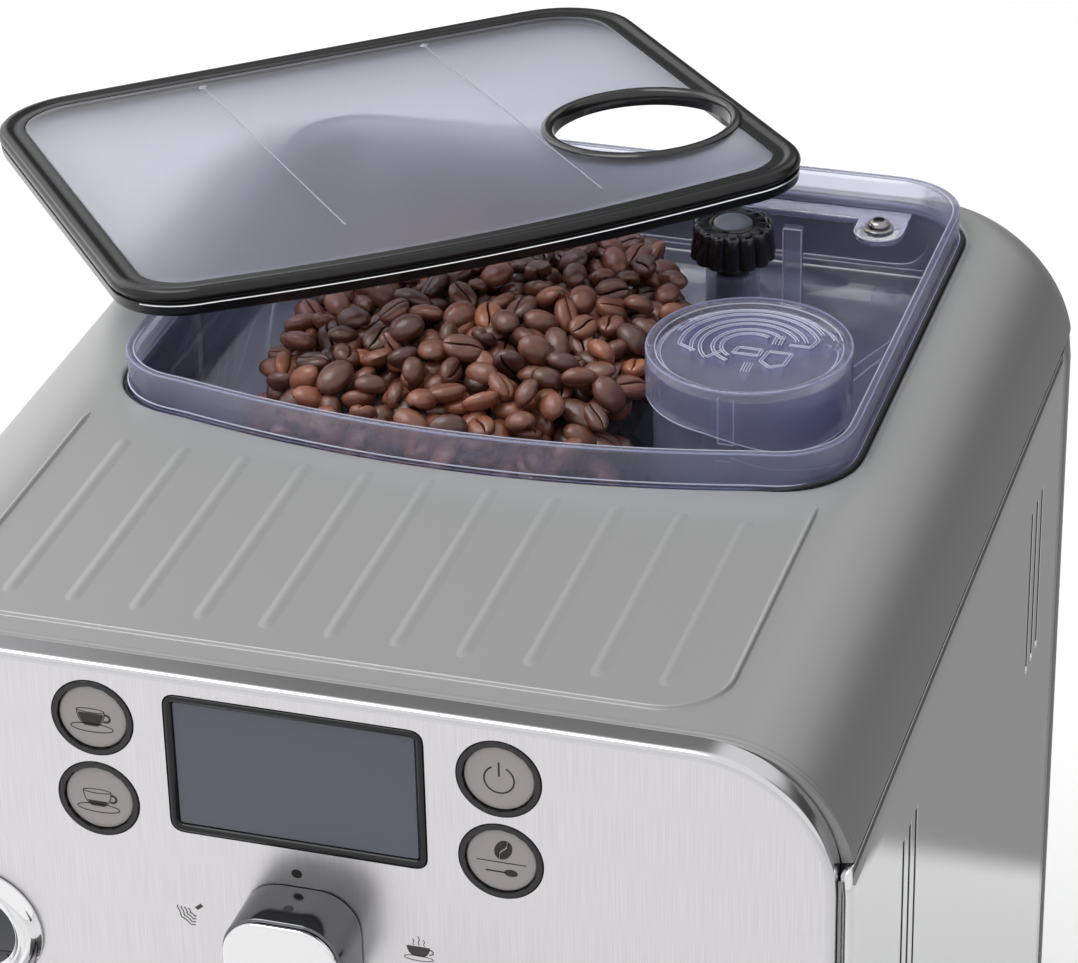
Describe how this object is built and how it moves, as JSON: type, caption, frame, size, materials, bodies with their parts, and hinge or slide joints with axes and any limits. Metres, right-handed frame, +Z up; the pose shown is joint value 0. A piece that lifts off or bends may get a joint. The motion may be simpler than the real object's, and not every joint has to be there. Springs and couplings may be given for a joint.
{
  "type": "bean to cup coffee machine",
  "caption": "Countertop bean to cup coffee machine with clear bean hopper, doser, display panel, spout, steam wand, tank, grounds drawer and drip tray; bean lid laid askew.",
  "frame": {"origin": "underside of the base plate, in the middle of the footprint of body and drip tray", "axes": "+X to the machine's right seen from its front, +Y from the front panel to the back, +Z up"},
  "size_m": [0.3067, 0.519, 0.323],
  "materials": {
    "satin_grey": "satin silver grey paint on the steel shell",
    "brushed_steel": "finely brushed, lines run sideways",
    "chrome": "polished",
    "dark_chrome": "smoked chrome",
    "black_plastic": "fine matt grain",
    "gloss_black": "gloss black",
    "charcoal_gloss": "gloss charcoal",
    "smoke_clear": "see-through smoke grey",
    "clear_plastic": "clear with a faint violet tint",
    "display_glass": "blank grey display window",
    "key_grey": "warm grey key cap",
    "circuit_board": "green board",
    "rubber": "matt black",
    "roast_brown": "roasted coffee beans, slightly oily",
    "cast_aluminium": "plain cast",
    "float_red": "red",
    "silicone": "milky silicone"
  },
  "bodies": {
    "machine": {"base_frame": "black_plastic", "bay_floor": "black_plastic", "bean_fill": "roast_brown", "bean_hopper": "clear_plastic", "boiler": "cast_aluminium", "brew_group": "black_plastic", "centre_wall": "black_plastic", "control_board": "circuit_board", "display_bezel": "charcoal_gloss", "display_window": "display_glass", "door_pin_lower": "cast_aluminium", "door_pin_upper": "cast_aluminium", "doser_tube": "clear_plastic", "foot_front_left": "rubber", "foot_front_right": "rubber", "foot_rear_left": "rubber", "foot_rear_right": "rubber", "front_panel": "brushed_steel", "grinder_collar": "black_plastic", "grinder_housing": "black_plastic", "grinder_motor": "cast_aluminium", "hopper_screw_left": "cast_aluminium", "hopper_screw_right": "cast_aluminium", "left_side_panel": "satin_grey", "lower_front": "gloss_black", "panel_carrier": "black_plastic", "power_inlet": "black_plastic", "pump": "black_plastic", "pump_hose": "silicone", "rear_cover": "satin_grey", "round_boss": "chrome", "top_cover": "satin_grey", "upper_deck": "black_plastic"},
    "door": {"service_door": "satin_grey"},
    "switch": {"main_switch": "gloss_black"},
    "key_long_coffee": {"button_long_coffee": "key_grey"},
    "key_espresso": {"button_espresso": "key_grey"},
    "key_power": {"button_power": "key_grey"},
    "key_ground_coffee": {"button_ground_coffee": "key_grey"},
    "selector": {"selector_dial": "dark_chrome", "selector_face": "chrome"},
    "knob": {"grinder_knob": "gloss_black", "knob_insert": "smoke_clear"},
    "cap": {"doser_cap": "clear_plastic"},
    "burr": {"grinder_burr": "cast_aluminium"},
    "spout": {"spout_body": "gloss_black", "spout_trim": "chrome"},
    "wand": {"steam_wand": "dark_chrome", "wand_grip": "rubber", "wand_sleeve": "chrome"},
    "tray": {"drip_tray": "black_plastic"},
    "grid": {"drip_grid": "brushed_steel"},
    "float": {"tray_float": "float_red"},
    "drawer": {"grounds_drawer": "gloss_black"},
    "tank": {"tank_front": "brushed_steel", "water_tank": "smoke_clear"},
    "piston": {"brew_piston": "silicone"},
    "lid": {"lid_frame": "charcoal_gloss", "lid_window": "smoke_clear", "lid_ring": "gloss_black"}
  },
  "joints": [
    {"name": "door_hinge", "type": "hinge", "parent": "machine", "child": "door", "pos_m": [0.1228, 0.1885, 0.138], "axis": [0, 0, 1], "range_deg": [0, 100]},
    {"name": "switch_rocker", "type": "hinge", "parent": "machine", "child": "switch", "pos_m": [-0.05, 0.211, 0.04], "axis": [1, 0, 0], "range_deg": [-8, 8]},
    {"name": "long_coffee_press", "type": "slide", "parent": "machine", "child": "key_long_coffee", "axis": [0, 1, 0], "range_m": [0, 0.0012], "stiffness_N_per_m": 250},
    {"name": "espresso_press", "type": "slide", "parent": "machine", "child": "key_espresso", "axis": [0, 1, 0], "range_m": [0, 0.0012], "stiffness_N_per_m": 250},
    {"name": "power_press", "type": "slide", "parent": "machine", "child": "key_power", "axis": [0, 1, 0], "range_m": [0, 0.0012], "stiffness_N_per_m": 250},
    {"name": "ground_coffee_press", "type": "slide", "parent": "machine", "child": "key_ground_coffee", "axis": [0, 1, 0], "range_m": [0, 0.0012], "stiffness_N_per_m": 250},
    {"name": "selector_turn", "type": "hinge", "parent": "machine", "child": "selector", "pos_m": [0, -0.07, 0.2323], "axis": [0, 1, 0], "range_deg": [-90, 90]},
    {"name": "grind_knob_turn", "type": "hinge", "parent": "machine", "child": "knob", "pos_m": [0.0394, 0.172, 0.3], "axis": [0, 0, 1], "range_deg": [-150, 150]},
    {"name": "doser_cap_lift", "type": "slide", "parent": "machine", "child": "cap", "axis": [0, 0, 1], "range_m": [0, 0.08]},
    {"name": "burr_spin", "type": "hinge", "parent": "machine", "child": "burr", "pos_m": [0, 0.12, 0.21], "axis": [0, 0, 1], "continuous": true},
    {"name": "spout_height", "type": "slide", "parent": "machine", "child": "spout", "axis": [0, 0, 1], "range_m": [0, 0.034]},
    {"name": "wand_swing", "type": "hinge", "parent": "machine", "child": "wand", "pos_m": [-0.092, -0.064, 0.176], "axis": [0, 1, 0], "range_deg": [-10, 50]},
    {"name": "tray_slide", "type": "slide", "parent": "machine", "child": "tray", "axis": [0, -1, 0], "range_m": [0, 0.165]},
    {"name": "grid_lift", "type": "slide", "parent": "tray", "child": "grid", "axis": [0, 0, 1], "range_m": [0, 0.05]},
    {"name": "float_rise", "type": "slide", "parent": "tray", "child": "float", "axis": [0, 0, 1], "range_m": [0, 0.007]},
    {"name": "drawer_slide", "type": "slide", "parent": "machine", "child": "drawer", "axis": [0, -1, 0], "range_m": [0, 0.15]},
    {"name": "tank_slide", "type": "slide", "parent": "machine", "child": "tank", "axis": [0, -1, 0], "range_m": [0, 0.14]},
    {"name": "piston_stroke", "type": "slide", "parent": "machine", "child": "piston", "axis": [0, 0, 1], "range_m": [0, 0.045]},
    {"name": "lid_lift", "type": "slide", "parent": "machine", "child": "lid", "axis": [0, 0, 1], "range_m": [0, 0.12]}
  ]
}
